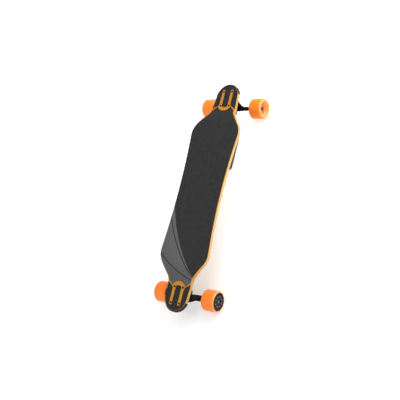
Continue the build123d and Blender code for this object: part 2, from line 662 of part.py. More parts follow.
REAR_NUT_FROM = TRACK_HALF + CAN_OUT + 0.3
REAR_NUT_T = 4.5
REAR_AXLE_END = REAR_NUT_FROM + REAR_NUT_T + 0.6
with BuildPart() as rear_axle:
    rod(-AXLE_X, -REAR_AXLE_END, 2 * REAR_AXLE_END, REAR_AXLE_R)
    chamfer(rear_axle.edges().filter_by(GeomType.CIRCLE), length=0.6)
write(rear_axle, "rear_axle")

with BuildPart() as rear_axle_hardware:
    hex_ring(-AXLE_X, REAR_NUT_FROM, REAR_NUT_T, 19.0, REAR_AXLE_R)
    spun([(0, REAR_AXLE_R), (0, 8.5), (2.8, 8.5), (2.8, REAR_AXLE_R)], -AXLE_X, REAR_HANGER_END + 0.1)
    mirror(about=Plane.XZ)
write(rear_axle_hardware, "rear_axle_hardware")

# Stator stacks and windings, fixed on the rear axle
TEETH, TOOTH_W = 12, 6.0
STATOR_R = CAN_BORE_R - MAGNET_T - AIR_GAP
stack_face = Plane(origin=(-AXLE_X, TRACK_HALF - STACK_HALF, AXLE_Z), x_dir=(1, 0, 0), z_dir=(0, 1, 0))
with BuildPart() as stators:
    with BuildSketch(stack_face):
        Circle(STATOR_R)
        Circle(STATOR_R - 2.4, mode=Mode.SUBTRACT)
        with PolarLocations(STATOR_R, TEETH, start_angle=15):
            Rectangle(8, 3, mode=Mode.SUBTRACT)
        Circle(HUB_R)
        with PolarLocations((HUB_R + STATOR_R) / 2 - 1, TEETH):
            Rectangle(STATOR_R - HUB_R, TOOTH_W)
        Circle(REAR_AXLE_R, mode=Mode.SUBTRACT)
    extrude(amount=2 * STACK_HALF)
    mirror(about=Plane.XZ)
write(stators, "stators")

with BuildPart() as motor_windings:
    with BuildSketch(stack_face.offset(-3)):
        Circle(STATOR_R - 2.6)
        Circle(HUB_R + 0.2, mode=Mode.SUBTRACT)
    extrude(amount=2 * STACK_HALF + 6)
    with BuildSketch(stack_face.offset(-0.1)):
        with PolarLocations((HUB_R + STATOR_R) / 2, TEETH):
            Rectangle(STATOR_R - HUB_R + 4, TOOTH_W + 0.2)
    extrude(amount=2 * STACK_HALF + 0.2, mode=Mode.SUBTRACT)
    mirror(about=Plane.XZ)
write(motor_windings, "motor_windings")


# Cases under the standing area
def tray(x_range, half_y, bottom, rib_rows):
    """Open-topped tray with a screw flange, ribbed underneath."""
    x_mid, x_len = sum(x_range) / 2, x_range[1] - x_range[0]
    flange_from = CASE_TOP_Z - FLANGE_T
    with BuildSketch(Plane.XY.offset(bottom)) as foot:
        with Locations((x_mid, 0)):
            RectangleRounded(x_len, 2 * half_y, TRAY_CORNER)
    extrude(foot.sketch, amount=CASE_TOP_Z - bottom)
    shell = BuildPart._get_context()
    fillet(shell.edges().group_by(Axis.Z)[0], radius=6)
    with BuildSketch(Plane.XY.offset(flange_from)) as brim:
        with Locations((x_mid, 0)):
            RectangleRounded(x_len + 2 * END_FLANGE, 2 * (half_y + SIDE_FLANGE), 12)
    extrude(brim.sketch, amount=FLANGE_T)
    for row in rib_rows:
        with BuildSketch(Plane.XY.offset(bottom)) as rib:
            with Locations((x_mid, row)):
                SlotOverall(x_len - 36, 5)
        extrude(rib.sketch, amount=-1)
    with BuildSketch(Plane.XY.offset(bottom + WALL_T)) as hollow:
        with Locations((x_mid, 0)):
            RectangleRounded(x_len - 2 * WALL_T, 2 * (half_y - WALL_T), TRAY_CORNER - WALL_T)
    extrude(hollow.sketch, amount=CASE_TOP_Z, mode=Mode.SUBTRACT)


def x_rods(spots, x_from, length, radius, mode=Mode.ADD):
    """Round bars along +X at (y, z) spots."""
    for y, z in spots:
        with BuildSketch(Plane(origin=(x_from, y, z), x_dir=(0, 1, 0), z_dir=(1, 0, 0))) as face:
            Circle(radius)
        extrude(face.sketch, amount=length, mode=mode)


wire_spots = [(-WIRE_Y, WIRE_Z), (WIRE_Y, WIRE_Z)]
lead_spots = [(-20.0, 113.0), (20.0, 113.0)]
with BuildPart() as battery_case:
    tray(BATTERY_X, BATTERY_Y, BATTERY_Z, range(-75, 76, 25))
    x_rods(wire_spots, BATTERY_X[0] - 1, WALL_T + 2, WIRE_R, Mode.SUBTRACT)
    drill(battery_screws, CASE_TOP_Z - FLANGE_T, SCREW_R, FLANGE_T)
write(battery_case, "battery_case")

SPREADER = (84.0, 92.0, 3.4)
BUTTON_X, PORT_X, SIDE_Z = -185.0, -140.0, 113.0
BUTTON_R, BEZEL_R, PORT_R, PORT_BORE_R = 6.0, 9.0, 8.0, 5.5
esc_mid = sum(ESC_X) / 2
with BuildPart() as esc_case:
    tray(ESC_X, ESC_Y, ESC_Z, ())
    x_rods(wire_spots, ESC_X[1] - WALL_T - 1, WALL_T + 2, WIRE_R, Mode.SUBTRACT)
    x_rods(lead_spots, ESC_X[0] - 8, 10, 5.5)
    x_rods(lead_spots, ESC_X[0] - 9, 14, 3.2, Mode.SUBTRACT)
    with BuildSketch(Plane.XY.offset(ESC_Z - 1)):
        with Locations((esc_mid, 0)):
            RectangleRounded(SPREADER[0], SPREADER[1], 6)
    extrude(amount=WALL_T + 1, mode=Mode.SUBTRACT)
    with BuildSketch(Plane.XZ.offset(-ESC_Y)):
        with Locations((BUTTON_X, SIDE_Z)):
            Circle(BEZEL_R)
    extrude(amount=-1.5)
    with BuildSketch(Plane.XZ.offset(WALL_T + 1 - ESC_Y)):
        with Locations((BUTTON_X, SIDE_Z)):
            Circle(BUTTON_R + 0.1)
        with Locations((PORT_X, SIDE_Z)):
            Circle(PORT_R)
    extrude(amount=-8, mode=Mode.SUBTRACT)
    drill(esc_screws, CASE_TOP_Z - FLANGE_T, SCREW_R, FLANGE_T)
write(esc_case, "esc_case")

with BuildPart() as case_gaskets:
    side_band(-DECK_T, -DECK_T - 12)
    with BuildSketch(Plane.XY.offset(CASE_TOP_Z)):
        for x_range, half_y in ((BATTERY_X, BATTERY_Y), (ESC_X, ESC_Y)):
            with Locations((sum(x_range) / 2, 0)):
                x_len = x_range[1] - x_range[0]
                RectangleRounded(x_len + 2 * END_FLANGE, 2 * (half_y + SIDE_FLANGE), 12)
                RectangleRounded(x_len - 2 * WALL_T, 2 * (half_y - WALL_T), TRAY_CORNER - WALL_T,
                                 mode=Mode.SUBTRACT)
    extrude(amount=10, mode=Mode.INTERSECT)
    drill(battery_screws + esc_screws, CASE_TOP_Z, SCREW_R, 10)
write(case_gaskets, "case_gaskets")

# Lithium cells in two groups lying lengthwise, ten side by side
cell_rows = [CELL_PITCH * (i - 4.5) for i in range(10)]
cell_z = BATTERY_Z + WALL_T + 1 + CELL_R
CELLS_TO_X = BATTERY_X[1] - 7.8
with BuildPart() as battery_cells:
    for x_from in (CELLS_TO_X - CELL_L, CELLS_TO_X - 2 * CELL_L - 1.8):
        x_rods([(y, cell_z) for y in cell_rows], x_from, CELL_L, CELL_R)
        x_rods([(y, cell_z) for y in cell_rows], x_from + CELL_L, 1.2, 3)
write(battery_cells, "battery_cells")

with BuildPart() as bms_board:
    with Locations((BATTERY_X[0] + WALL_T + 7.5, 0, BATTERY_Z + WALL_T + 4)):
        Box(12, 150, 1.6)
    for y in range(-60, 61, 24):
        with Locations((BATTERY_X[0] + WALL_T + 7.5, y, BATTERY_Z + WALL_T + 6.8)):
            Box(8, 10, 4)
write(bms_board, "bms_board")

BOARD_Z = ESC_Z + WALL_T + 3.4
with BuildPart() as esc_board:
    with Locations((esc_mid, 0, BOARD_Z)):
        Box(88, 96, 1.6)
    with Locations((esc_mid - 22, 0, BOARD_Z + 2.3)):
        with GridLocations(11, 12, 3, 6):
            Box(8, 9, 3)
    with Locations((esc_mid + 26, 0, BOARD_Z + 4.3)):
        Box(16, 22, 7)
write(esc_board, "esc_board")

with BuildPart() as esc_capacitors:
    with Locations((esc_mid + 8, 0, BOARD_Z + 0.8)):
        with GridLocations(1, 14, 1, 6):
            Cylinder(6, 14, align=(Align.CENTER, Align.CENTER, Align.MIN))
write(esc_capacitors, "esc_capacitors")

with BuildPart() as heat_spreader:
    with BuildSketch(Plane.XY.offset(ESC_Z)):
        with Locations((esc_mid, 0)):
            RectangleRounded(SPREADER[0], SPREADER[1], 6)
    extrude(amount=WALL_T)
    with BuildSketch(Plane.XY.offset(ESC_Z)):
        with Locations((esc_mid, 0)):
            with GridLocations(1, 8, 1, 10):
                SlotOverall(SPREADER[0] - 14, 2.4)
    extrude(amount=-3)
write(heat_spreader, "heat_spreader")

CHANNEL_X = (ESC_X[1] + END_FLANGE + 1, BATTERY_X[0] - END_FLANGE - 1)
with BuildPart() as wire_channel:
    with BuildSketch(Plane.YZ.offset(CHANNEL_X[0])):
        with Locations((0, (113 + top_z(CHANNEL_X[0]) - DECK_T) / 2)):
            RectangleRounded(28, top_z(CHANNEL_X[0]) - DECK_T - 113, 3)
        with Locations((0, 127)):
            Rectangle(28, 2 * (top_z(CHANNEL_X[0]) - DECK_T - 127))
            Rectangle(18, 24, mode=Mode.SUBTRACT)
    extrude(amount=CHANNEL_X[1] - CHANNEL_X[0])
write(wire_channel, "wire_channel")

with BuildPart() as power_wires:
    x_rods(wire_spots, ESC_X[1] - 6, BATTERY_X[0] - ESC_X[1] + 10, WIRE_R)
write(power_wires, "power_wires")

# Charge socket with a hinged cap, and the power button
HINGE_X, HINGE_Y, HINGE_R = PORT_X - 12.8, ESC_Y + 2.8, 0.8
with BuildPart() as charge_port:
    with BuildSketch(Plane.XZ.offset(-ESC_Y + 14)):
        with Locations((PORT_X, SIDE_Z)):
            Circle(PORT_R)
    extrude(amount=-14)
    with BuildSketch(Plane.XZ.offset(-ESC_Y)):
        with Locations((PORT_X, SIDE_Z)):
            Circle(PORT_R + 2)
    extrude(amount=-2)
    with BuildSketch(Plane.XZ.offset(-ESC_Y + 10)):
        with Locations((PORT_X, SIDE_Z)):
            Circle(PORT_BORE_R)
    extrude(amount=-14, mode=Mode.SUBTRACT)
    with BuildSketch(Plane.XZ.offset(-ESC_Y + 10)):
        with Locations((PORT_X, SIDE_Z)):
            with PolarLocations(3, 3, start_angle=90):
                Circle(0.8)
    extrude(amount=2.5, mode=Mode.SUBTRACT)
    for low in (SIDE_Z - 5.2, SIDE_Z + 3.8):
        with BuildSketch(Plane.XY.offset(low)):
            with BuildLine():
                Polyline((HINGE_X - 1.6, ESC_Y), (HINGE_X - 1.6, HINGE_Y + 1.6),
                         (HINGE_X + 1.4, HINGE_Y + 1.6), (PORT_X - 10, ESC_Y + 2),
                         (PORT_X - 7.5, ESC_Y + 2), (PORT_X - 7.5, ESC_Y), close=True)
            make_face()
        extrude(amount=1.4)
    with BuildSketch(Plane.XY.offset(SIDE_Z - 4.5)):
        with Locations((HINGE_X, HINGE_Y)):
            Circle(HINGE_R)
    extrude(amount=9)
write(charge_port, "charge_port")

with BuildPart() as charge_cap:
    with BuildSketch(Plane.XZ.offset(-ESC_Y - 2.3)):
        with Locations((PORT_X, SIDE_Z)):
            Circle(PORT_R + 1.8)
    extrude(amount=-2.4)
    fillet(charge_cap.edges().sort_by(Axis.Y)[-1], radius=1.0)
    with BuildSketch(Plane.XY.offset(SIDE_Z - 3.5)):
        with BuildLine():
            Polyline((HINGE_X, HINGE_Y - 0.4), (PORT_X - 7, ESC_Y + 2.4), (PORT_X - 7, ESC_Y + 4.4),
                     (HINGE_X, HINGE_Y + 1.6), close=True)
        make_face()
        with Locations((HINGE_X, HINGE_Y)):
            Circle(1.7)
    extrude(amount=7)
    with BuildSketch(Plane.XY.offset(SIDE_Z - 5)):
        with Locations((HINGE_X, HINGE_Y)):
            Circle(HINGE_R + RUNNING_GAP)
    extrude(amount=10, mode=Mode.SUBTRACT)
write(charge_cap, "charge_cap")

with BuildPart() as power_button:
    with BuildSketch(Plane.XZ.offset(-ESC_Y + WALL_T + 2.4)):
        with Locations((BUTTON_X, SIDE_Z)):
            Circle(BUTTON_R + 1.5)
    extrude(amount=-2.0)
    with BuildSketch(Plane.XZ.offset(-ESC_Y + WALL_T + 1)):
        with Locations((BUTTON_X, SIDE_Z)):
            Circle(BUTTON_R)
    extrude(amount=-(WALL_T + 1) - 3.0)
    fillet(power_button.edges().sort_by(Axis.Y)[-1], radius=0.8)
write(power_button, "power_button")

with BuildPart() as underside_screws:
    for spots, face_z in ((battery_screws + esc_screws, CASE_TOP_Z - FLANGE_T),
                          (guard_screws, UNDERSIDE_Z - GUARD_LIP_T)):
        with BuildSketch(Plane.XY.offset(face_z)) as shanks:
            with Locations(*spots):
                Circle(SCREW_R)
        extrude(amount=SCREW_REACH)
        with BuildSketch(Plane.XY.offset(face_z)) as heads:
            with Locations(*spots):
                Circle(SCREW_HEAD_R)
        extrude(amount=-SCREW_HEAD_T, taper=12)
        with BuildSketch(Plane.XY.offset(face_z - SCREW_HEAD_T)) as drives:
            with Locations(*spots):
                Rectangle(4.2, 1.0)
                Rectangle(1.0, 4.2)
        extrude(amount=1.4, mode=Mode.SUBTRACT)
write(underside_screws, "underside_screws")
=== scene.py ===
"""Looks for the drop-platform electric longboard: materials, bushings, cast trucks, lights and camera.

Everything is in metres in the row frame: +X to the nose, +Y to the rider's left, +Z up, ground at z = 0.
"""

import json
import math

import bpy
import bmesh
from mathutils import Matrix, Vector

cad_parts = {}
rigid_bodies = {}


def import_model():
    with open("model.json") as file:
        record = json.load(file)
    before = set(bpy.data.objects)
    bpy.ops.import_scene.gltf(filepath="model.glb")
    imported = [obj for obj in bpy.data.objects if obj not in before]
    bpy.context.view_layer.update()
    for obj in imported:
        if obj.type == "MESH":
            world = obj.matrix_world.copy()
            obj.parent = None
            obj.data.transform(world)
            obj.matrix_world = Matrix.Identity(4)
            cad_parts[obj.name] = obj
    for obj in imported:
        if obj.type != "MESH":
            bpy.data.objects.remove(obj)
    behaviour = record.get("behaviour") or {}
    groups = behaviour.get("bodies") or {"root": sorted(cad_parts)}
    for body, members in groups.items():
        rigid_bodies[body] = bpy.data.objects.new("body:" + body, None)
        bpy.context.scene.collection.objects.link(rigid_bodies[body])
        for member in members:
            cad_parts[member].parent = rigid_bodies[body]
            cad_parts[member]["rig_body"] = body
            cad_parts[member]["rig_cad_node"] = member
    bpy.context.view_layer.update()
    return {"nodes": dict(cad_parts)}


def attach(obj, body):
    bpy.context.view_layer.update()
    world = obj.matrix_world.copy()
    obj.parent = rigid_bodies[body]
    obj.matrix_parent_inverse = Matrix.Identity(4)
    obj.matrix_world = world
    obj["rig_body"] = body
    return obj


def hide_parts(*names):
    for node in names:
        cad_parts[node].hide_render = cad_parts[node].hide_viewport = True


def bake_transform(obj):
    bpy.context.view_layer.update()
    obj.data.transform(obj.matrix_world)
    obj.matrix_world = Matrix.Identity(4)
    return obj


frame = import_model()
nodes = frame["nodes"]


# ---------------------------------------------------------------- node helpers
def srgb(red, green, blue):
    """A display colour, 0 to 255 a channel, as the linear colour that nodes use."""
    def linear(v):
        v /= 255
        return v / 12.92 if v <= 0.04045 else ((v + 0.055) / 1.055) ** 2.4
    return (linear(red), linear(green), linear(blue), 1.0)


class Shade:
    """One procedural material round a Principled shader, in object coordinates."""

    def __init__(self, name, color, roughness=0.5, metallic=0.0, specular=0.5):
        self.material = bpy.data.materials.new(name)
        self.material.use_nodes = True
        tree = self.material.node_tree
        self.nodes, self.links = tree.nodes, tree.links
        self.nodes.clear()
        out = self.nodes.new("ShaderNodeOutputMaterial")
        self.bsdf = self.nodes.new("ShaderNodeBsdfPrincipled")
        self.links.new(self.bsdf.outputs[0], out.inputs[0])
        self.place = self.nodes.new("ShaderNodeTexCoord").outputs["Object"]
        self.set("Base Color", color)
        self.set("Roughness", roughness)
        self.set("Metallic", metallic)
        self.set("Specular IOR Level", specular)

    def set(self, socket, value):
        """Puts a constant or a link on one of the shader's sockets."""
        self.feed(self.bsdf.inputs[socket], value)
        return self

    def feed(self, socket, value):
        """Links a node's output to the socket, or gives it a constant."""
        if isinstance(value, bpy.types.NodeSocket):
            self.links.new(value, socket)
        else:
            socket.default_value = value

    def math(self, operation, *values):
        node = self.nodes.new("ShaderNodeMath")
        node.operation = operation
        for socket, value in zip(node.inputs, values):
            self.feed(socket, value)
        return node.outputs[0]

    def stretched(self, scale, shift=(0, 0, 0)):
        """Object coordinates, scaled and moved."""
        node = self.nodes.new("ShaderNodeMapping")
        self.feed(node.inputs["Vector"], self.place)
        node.inputs["Scale"].default_value = scale
        node.inputs["Location"].default_value = shift
        return node.outputs[0]

    def noise(self, scale, detail=2.0, rough=0.5, vector=None, distortion=0.0):
        node = self.nodes.new("ShaderNodeTexNoise")
        self.feed(node.inputs["Vector"], vector or self.place)
        node.inputs["Scale"].default_value = scale
        node.inputs["Detail"].default_value = detail
        node.inputs["Roughness"].default_value = rough
        node.inputs["Distortion"].default_value = distortion
        return node.outputs["Fac"]

    def cells(self, scale, vector=None, feature="F1", output="Distance"):
        node = self.nodes.new("ShaderNodeTexVoronoi")
        node.feature = feature
        self.feed(node.inputs["Vector"], vector or self.place)
        node.inputs["Scale"].default_value = scale
        return node.outputs[output]

    def axes(self):
        node = self.nodes.new("ShaderNodeSeparateXYZ")
        self.feed(node.inputs[0], self.place)
        return node.outputs

    def grey(self, value):
        """A value as a grey, clamped to 0..1."""
        node = self.nodes.new("ShaderNodeValToRGB")
        self.feed(node.inputs[0], value)
        return node.outputs[0]

    def span(self, value, low, high, to_low=0.0, to_high=1.0):
        """value from low..high to to_low..to_high, clamped."""
        node = self.nodes.new("ShaderNodeMapRange")
        for socket, v in zip(node.inputs[:5], (value, low, high, to_low, to_high)):
            self.feed(socket, v)
        return node.outputs[0]

    def mix(self, factor, a, b, blend="MIX"):
        node = self.nodes.new("ShaderNodeMix")
        node.data_type, node.blend_type = "RGBA", blend
        self.feed(node.inputs[0], factor)
        self.feed(node.inputs[6], a)
        self.feed(node.inputs[7], b)
        return node.outputs[2]

    def bump(self, height, distance, strength=1.0):
        """Relief whose full height is distance, in metres."""
        node = self.nodes.new("ShaderNodeBump")
        node.inputs["Strength"].default_value = strength
        node.inputs["Distance"].default_value = distance
        self.feed(node.inputs["Height"], height)
        self.set("Normal", node.outputs[0])

    def length(self, a, b):
        """The length of the flat vector (a, b)."""
        squares = self.math("ADD", self.math("MULTIPLY", a, a), self.math("MULTIPLY", b, b))
        return self.math("SQRT", squares)

    def radius(self, x, z):
        """Distance from the line along Y through (x, z)."""
        along = self.axes()
        return self.length(self.math("SUBTRACT", along[0], x), self.math("SUBTRACT", along[2], z))


def paint(material, *names):
    """Gives the named CAD nodes one material."""
    for name in names:
        node = nodes[name]
        node.data.materials.clear()
        node.data.materials.append(material)


# ---------------------------------------------------------------- dimensions
# In metres, and as in the CAD but for the pitches.
AXLE_X, AXLE_Z = 0.4094, 0.0425
TRACK_HALF = 0.1187
STANDING_Z, PLATFORM_Z = 0.14475, 0.121
CAMBER, CAMBER_END = 0.00225, 0.295
RAMP_TOP_X, RAMP_TOP_Z, RAMP_SLOPE = 0.312, 0.14224, 0.3482
RAMP_TOP_BLEND, RAMP_FOOT_BLEND = 0.0078, 0.0084
VENEER_T, PLY_T = 0.0012, 0.0018
# Wheels: radii where the tread and the dish begin and end, depths outboard of the track's middle; the rim
# and the dish get a painted highlight.
TREAD_FROM, TREAD_TO = 0.0405, 0.0422
DISH_FROM, DISH_TO = 0.0335, 0.031
DISH_DEEP, DISH_SHALLOW, RIM_HIGHLIGHT_TO = 0.008, 0.011, 0.0285
# Shields of the bearings, as inner and outer radius.
FRONT_SHIELD, REAR_SHIELD = (0.0059, 0.0095), (0.0073, 0.0113)
# Pitches of the lathe marks, the moulding rings and the stator's sheets.
TURNED_PITCH, MOULD_PITCH, LAMINATION_PITCH = 0.00045, 0.0011, 0.0007


def depth_below_top(shade):
    """Distance below the bare wood's top surface, in metres, anywhere in the board."""
    along = shade.axes()
    ax = shade.math("ABSOLUTE", along[0])
    fall = shade.math("MULTIPLY", shade.math("MULTIPLY", ax, ax), CAMBER / CAMBER_END ** 2)
    standing = shade.math("SUBTRACT", STANDING_Z, fall)
    slope = shade.math("MULTIPLY", shade.math("SUBTRACT", ax, RAMP_TOP_X), RAMP_SLOPE)
    ramp = shade.math("SUBTRACT", RAMP_TOP_Z, slope)
    crest = shade.math("SMOOTH_MIN", standing, ramp, RAMP_TOP_BLEND)
    top = shade.math("SMOOTH_MAX", crest, PLATFORM_Z, RAMP_FOOT_BLEND)
    return shade.math("SUBTRACT", top, along[2])


# ---------------------------------------------------------------- wood and grip
def wood_grain(shade, light, dark, figure):
    """Long grain along X with wide figure bands over it; also returns the fibres, for relief."""
    fibres = shade.noise(220, 6, 0.62, shade.stretched((0.10, 3.2, 3.2)), 0.3)
    bands = shade.noise(22, 4, 0.55, shade.stretched((0.16, 1.6, 1.6)), 1.4)
    grain = shade.mix(shade.span(fibres, 0.36, 0.72), light, dark)
    return shade.mix(shade.span(bands, 0.45, 0.68, 0, 0.55), grain, figure), fibres


edge = Shade("maple_plies", srgb(218, 183, 106), 0.36)
depth = depth_below_top(edge)
ply = edge.math("DIVIDE", edge.math("SUBTRACT", depth, VENEER_T), PLY_T)
cross = edge.math("PINGPONG", ply, 1.0)
in_ply = edge.math("FRACT", ply)
light_ply, fibres = wood_grain(edge, srgb(227, 191, 111), srgb(207, 166, 86), srgb(219, 181, 100))
pores = edge.noise(900, 3, 0.7, edge.stretched((1, 1, 0.35)))
dark_ply = edge.mix(edge.span(pores, 0.35, 0.7), srgb(217, 178, 97), srgb(188, 143, 69))
plies = edge.mix(edge.math("GREATER_THAN", cross, 0.5), light_ply, dark_ply)
glue = edge.math("MULTIPLY", edge.span(in_ply, 0.0, 0.07, 1, 0), edge.span(depth, 0.001, 0.0014))
edge.set("Base Color", edge.mix(edge.math("MULTIPLY", glue, 0.55), plies, srgb(158, 112, 58)))
edge.set("Coat Weight", 0.25).set("Coat Roughness", 0.18)
edge.bump(edge.mix(0.5, fibres, pores), 0.00006)
paint(edge.material, "deck_core")

stain = Shade("orange_stained_veneer", srgb(202, 134, 18), 0.42, specular=0.3)
color, fibres = wood_grain(stain, srgb(208, 140, 16), srgb(170, 103, 7), srgb(192, 124, 12))
stain.set("Base Color", color)
stain.set("Coat Weight", 0.12).set("Coat Roughness", 0.2)
stain.bump(fibres, 0.00005)
paint(stain.material, "top_veneer")

clear = Shade("clear_veneer", srgb(214, 172, 110), 0.4)
color, fibres = wood_grain(clear, srgb(222, 182, 118), srgb(190, 144, 84), srgb(208, 164, 100))
clear.set("Base Color", color)
clear.set("Coat Weight", 0.3).set("Coat Roughness", 0.2)
clear.bump(fibres, 0.00006)
paint(clear.material, "bottom_veneer")


# Circles on the board as (x, y, radius): the printed area's front edge, then its two dark lines.
PRINT_CIRCLES = (0.143, -0.558, 0.6925), (0.148, -0.500, 0.6595), (0.123, -0.199, 0.4996)
PRINT_FRONT_X = 0.02


def grip_sheet(name, dark, light, graphic=False):
    """Coarse grit glued to a dark film, with grains about half a millimetre across, painted shade between
    the grains and painted glints on a few of them.

    The graphic is a grey print over the rear of the sheet, bounded by a circle and crossed by two lines.
    """
    shade = Shade(name, dark, 0.92, specular=0.16)
    grains = shade.cells(1900)
    tone = shade.cells(1900, output="Color")
    clumps = shade.noise(60, 4, 0.6)
    color = shade.mix(shade.span(clumps, 0.3, 0.72), dark, light)
    # painted glints: a few grains turned light grey
    glint_flecks = shade.span(shade.math("FRACT", shade.math("MULTIPLY", tone, 7.31)), 0.9, 1.0, 0, 0.5)
    if graphic:
        along = shade.axes()

        def beyond(x, y, radius):
            """How far outside a circle on the board, in metres."""
            dx = shade.math("SUBTRACT", along[0], x)
            dy = shade.math("SUBTRACT", along[1], y)
            return shade.math("SUBTRACT", shade.length(dx, dy), radius)

        outer, inner, sweep = [beyond(*circle) for circle in PRINT_CIRCLES]
        rear = shade.math("LESS_THAN", along[0], PRINT_FRONT_X)
        inside = shade.math("MULTIPLY", shade.span(outer, -0.0006, 0.0006), rear)
        wash = shade.span(outer, 0.0, 0.16, 0.0, 1.0)
        print_color = shade.mix(wash, srgb(112, 112, 113), srgb(96, 96, 97))
        line = shade.span(shade.math("ABSOLUTE", inner), 0.0017, 0.0030, 1, 0)
        curve = shade.span(shade.math("ABSOLUTE", sweep), 0.0015, 0.0028, 1, 0)
        lines = shade.math("MAXIMUM", line, curve)
        worn = shade.span(shade.noise(700, 3, 0.6), 0.25, 0.6, 0.82, 1.0)
        print_color = shade.mix(lines, print_color, srgb(52, 52, 53))
        color = shade.mix(shade.math("MULTIPLY", inside, worn), color, print_color)
    # painted shade: the colour darkens towards the edges of each grain
    shade_between_grains = shade.span(grains, 0.05, 0.55, 1.15, 0.62)
    shaded = shade.mix(1.0, color, shade.grey(shade_between_grains), "MULTIPLY")
    shade.set("Base Color", shade.mix(glint_flecks, shaded, srgb(120, 122, 126)))
    shade.bump(shade.span(grains, 0.0, 0.6, 1, 0), 0.00022, 0.8)
    return shade.material


paint(grip_sheet("grip_main", srgb(48, 48, 49), srgb(55, 55, 56), True), "grip_main")
paint(grip_sheet("grip_ends", srgb(42, 45, 48), srgb(49, 52, 55)), "grip_nose", "grip_tail")


# ---------------------------------------------------------------- rubber, plastics and metals
def moulded(name, color, dust, roughness, grain, relief, specular=0.4):
    """Moulded rubber or plastic: a fine texture, a little dust and uneven sheen."""
    shade = Shade(name, color, roughness, specular=specular)
    texture = shade.noise(grain, 3, 0.6)
    cloud = shade.noise(38, 4, 0.6)
    shade.set("Base Color", shade.mix(shade.span(cloud, 0.42, 0.75, 0, 0.5), color, dust))
    shade.set("Roughness", shade.span(cloud, 0.3, 0.7, roughness - 0.06, roughness + 0.08))
    shade.bump(texture, relief)
    return shade.material


paint(moulded("guard_rubber", srgb(26, 26, 26), srgb(44, 44, 43), 0.68, 1500, 0.00007, 0.3),
      "nose_guard", "tail_guard")
paint(moulded("case_plastic", srgb(22, 22, 23), srgb(34, 34, 35), 0.55, 1800, 0.00008),
      "battery_case", "esc_case", "wire_channel")
paint(moulded("port_plastic", srgb(18, 18, 19), srgb(30, 30, 31), 0.42, 900, 0.00002), "charge_port")
paint(moulded("cap_rubber", srgb(28, 28, 28), srgb(46, 46, 45), 0.7, 1400, 0.00005), "charge_cap")
paint(moulded("gasket_foam", srgb(30, 30, 31), srgb(48, 48, 48), 0.92, 2600, 0.00018, 0.2),
      "case_gaskets")
paint(moulded("pivot_cup_plastic", srgb(24, 24, 24), srgb(36, 36, 36), 0.5, 900, 0.00003),
      "pivot_cups")


def metal(name, color, tint, roughness, grain, stretch=(1, 1, 1), metallic=1.0, specular=0.5):
    """Machined or plated metal with fine tool marks, drawn out where stretch is smallest."""
    shade = Shade(name, color, roughness, metallic, specular)
    marks = shade.noise(grain, 4, 0.65, shade.stretched(stretch))
    cloud = shade.noise(70, 4, 0.6)
    shade.set("Base Color", shade.mix(shade.span(cloud, 0.35, 0.7), color, tint))
    shade.set("Roughness", shade.span(marks, 0.3, 0.7, roughness - 0.08, roughness + 0.12))
    shade.bump(marks, 0.00002)
    return shade.material


zinc = metal("zinc_steel", srgb(196, 197, 196), srgb(170, 171, 166), 0.3, 700)
paint(zinc, "kingpins", "kingpin_nuts", "bushing_washers", "mounting_nuts")
turned_steel = metal("turned_steel", srgb(132, 135, 140), srgb(104, 107, 112), 0.26, 900, (1, 12, 1))
paint(turned_steel, "front_axle", "rear_axle")
paint(metal("black_oxide", srgb(14, 14, 15), srgb(24, 23, 23), 0.55, 900, metallic=0.0, specular=0.15),
      "mounting_bolts", "underside_screws")
paint(metal("dark_nut", srgb(46, 49, 56), srgb(64, 68, 76), 0.24, 900, metallic=0.85),
      "front_axle_hardware", "rear_axle_hardware")
paint(metal("bare_aluminium", srgb(206, 208, 210), srgb(184, 186, 188), 0.34, 500, (0.4, 14, 14)),
      "heat_spreader")
paint(metal("button_metal", srgb(190, 193, 196), srgb(168, 170, 174), 0.28, 1200, (6, 1, 1)),
      "power_button")
paint(metal("magnet_nickel", srgb(200, 197, 188), srgb(174, 170, 160), 0.22, 600),
      "rear_left_magnets", "rear_right_magnets")
paint(metal("cover_screw_steel", srgb(176, 181, 190), srgb(144, 149, 158), 0.3, 900),
      "rear_left_cover_screws", "rear_right_cover_screws")


def anodised(name, x, color, sheen, specular=0.5):
    """Black anodised metal turned on a lathe: fine rings round the axle."""
    shade = Shade(name, color, 0.4, 0.35, specular)
    radius = shade.radius(x, AXLE_Z)
    rings = shade.math("SINE", shade.math("MULTIPLY", radius, 2 * math.pi / TURNED_PITCH))
    cloud = shade.noise(90, 3, 0.6)
    shade.set("Base Color", shade.mix(shade.span(cloud, 0.35, 0.7), color, sheen))
    shade.set("Roughness", shade.span(cloud, 0.3, 0.7, 0.3, 0.46))
    shade.bump(rings, 0.000012)
    return shade.material


can = anodised("motor_can", -AXLE_X, srgb(26, 27, 29), srgb(40, 42, 46))
cover_face = anodised("motor_cover", -AXLE_X, srgb(15, 16, 18), srgb(28, 29, 32), 0.35)
for side in ("left", "right"):
    paint(can, f"rear_{side}_rotor", f"rear_{side}_back_plate")
    paint(cover_face, f"rear_{side}_cover")


